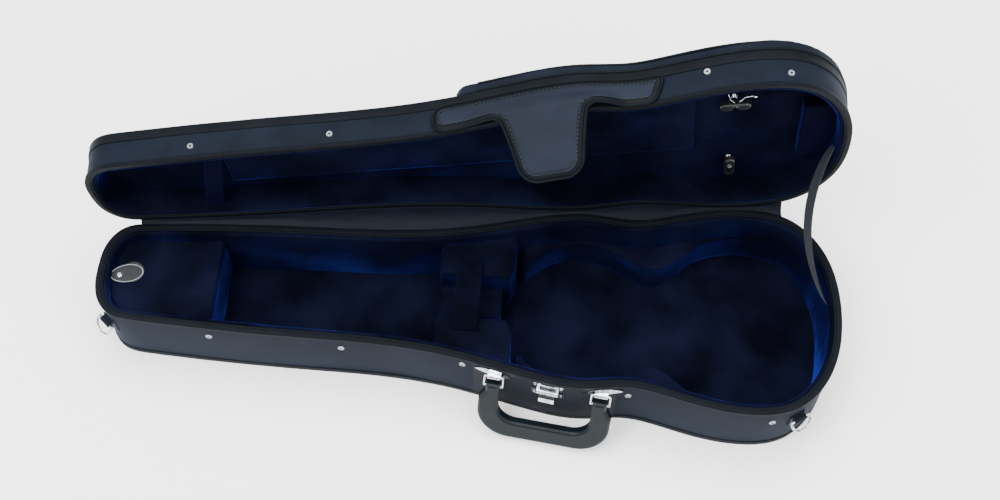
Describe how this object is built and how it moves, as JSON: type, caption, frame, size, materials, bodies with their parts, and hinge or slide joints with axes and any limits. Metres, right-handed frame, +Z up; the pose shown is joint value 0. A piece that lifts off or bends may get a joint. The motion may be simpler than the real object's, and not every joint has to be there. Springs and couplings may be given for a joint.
{
  "type": "violin case",
  "caption": "Shaped padded violin case, open at a right angle, with velvet lining, moulded handle, latch under a cloth flap, music pocket and bow holders.",
  "frame": {"origin": "middle of the case's long axis on the underside of the base", "axes": "+X along the hinge line towards the wide end, +Y from the front wall with the handle towards the hinge, +Z up"},
  "size_m": [0.8259, 0.3154, 0.3439],
  "materials": {
    "canvas": "woven canvas",
    "panel_cloth": "smooth coated cloth",
    "binding": "ribbed tape",
    "shell": "hidden laminate",
    "velvet": "plush pile",
    "dark_velvet": "plush pile",
    "grey_leather": "smooth",
    "moulded_grip": "satin",
    "chrome": "polished",
    "black_plastic": "satin",
    "webbing": "woven tape",
    "zip_tape": "woven tape"
  },
  "bodies": {
    "base": {"accessory_divider": "velvet", "accessory_ledge": "velvet", "base_bottom_binding": "binding", "base_cover": "canvas", "base_floor_pad": "velvet", "base_lining": "velvet", "base_rim_binding": "binding", "base_shell": "shell", "base_studs": "chrome", "base_underside": "canvas", "d_ring_tab_left": "panel_cloth", "d_ring_tab_right": "panel_cloth", "front_panel": "panel_cloth", "handle_plate_left": "chrome", "handle_plate_right": "chrome", "hinge_web": "panel_cloth", "latch_pin": "chrome", "latch_plate": "chrome", "latch_rivets": "chrome", "neck_block_back": "velvet", "neck_block_front": "velvet", "neck_saddle": "velvet", "neck_strap": "velvet", "stay_strap": "webbing", "violin_bed": "velvet"},
    "flap": {"flap_tongue": "panel_cloth"},
    "accessory_lid": {"accessory_lid": "velvet", "accessory_pull_tab": "grey_leather", "accessory_tab_rivet": "chrome"},
    "handle_bails": {"handle_bail_left": "chrome", "handle_bail_right": "chrome"},
    "handle": {"handle_grip": "moulded_grip"},
    "latch_lever": {"latch_lever": "chrome"},
    "d_ring_left": {"d_ring_left": "chrome"},
    "d_ring_right": {"d_ring_right": "chrome"},
    "bow_spinner_lower": {"bow_spinner_lower": "black_plastic"},
    "bow_spinner_upper": {"bow_spinner_upper": "black_plastic"},
    "zip_slider": {"zip_slider": "chrome"},
    "lid": {"lid_shell": "shell", "lid_cover": "canvas", "lid_rim_binding": "binding", "lid_top_binding": "binding", "lid_top_panel": "canvas", "lid_lining": "velvet", "lid_ceiling_pad": "velvet", "lid_cushion": "velvet", "lid_end_block": "dark_velvet", "bow_loop": "velvet", "bow_spinner_post_lower": "chrome", "bow_spinner_post_upper": "chrome", "bow_spinner_screw_lower": "chrome", "bow_spinner_screw_upper": "chrome", "music_pocket": "canvas", "pocket_zip": "zip_tape", "flap_crossbar": "panel_cloth", "lid_hasp": "chrome", "lid_studs": "chrome"}
  },
  "joints": [
    {"name": "lid_hinge", "type": "hinge", "parent": "base", "child": "lid", "pos_m": [0, 0.09612, 0.0943], "axis": [-1, 0, 0], "range_deg": [-90, 0], "deforming": ["hinge_web", "stay_strap"]},
    {"name": "flap_swing", "type": "hinge", "parent": "lid", "child": "flap", "pos_m": [0.08066, 0.10842, 0.30781], "axis": [0.9636, 0, 0.2674], "range_deg": [-33, 0]},
    {"name": "accessory_lid_hinge", "type": "hinge", "parent": "base", "child": "accessory_lid", "pos_m": [-0.27976, 0.02633, 0.08], "axis": [0.0937, 0.9956, 0], "range_deg": [0, 75]},
    {"name": "bails_swing", "type": "hinge", "parent": "base", "child": "handle_bails", "pos_m": [0.08484, -0.11086, 0.082], "axis": [-0.9768, 0.2141, 0], "range_deg": [0, 60]},
    {"name": "handle_pivot", "type": "hinge", "parent": "handle_bails", "child": "handle", "pos_m": [0.08375, -0.11582, 0.07003], "axis": [-0.9768, 0.2141, 0], "range_deg": [0, 30]},
    {"name": "latch_release", "type": "hinge", "parent": "base", "child": "latch_lever", "pos_m": [0.08441, -0.1154, 0.076], "axis": [-0.9662, 0.2577, 0], "range_deg": [0, 50], "stiffness_Nm_per_rad": 0.04},
    {"name": "d_ring_left_swing", "type": "hinge", "parent": "base", "child": "d_ring_left", "pos_m": [-0.40166, -0.01507, 0.068], "axis": [-0.6767, 0.7363, 0], "range_deg": [0, 80]},
    {"name": "d_ring_right_swing", "type": "hinge", "parent": "base", "child": "d_ring_right", "pos_m": [0.35582, -0.14738, 0.064], "axis": [-0.8791, -0.4766, 0], "range_deg": [0, 80]},
    {"name": "bow_spinner_lower_turn", "type": "hinge", "parent": "lid", "child": "bow_spinner_lower", "pos_m": [0.29491, 0.12152, 0.15189], "axis": [0, 1, 0], "range_deg": [-90, 90]},
    {"name": "bow_spinner_upper_turn", "type": "hinge", "parent": "lid", "child": "bow_spinner_upper", "pos_m": [0.28348, 0.12152, 0.27335], "axis": [0, 1, 0], "range_deg": [-90, 90]},
    {"name": "zip_slide", "type": "slide", "parent": "lid", "child": "zip_slider", "axis": [-0.9956, 0, -0.0937], "range_m": [0, 0.22]}
  ],
  "couplings": [
    {"joint": "flap_swing", "follows": "lid_hinge", "ratio": 0.35}
  ]
}
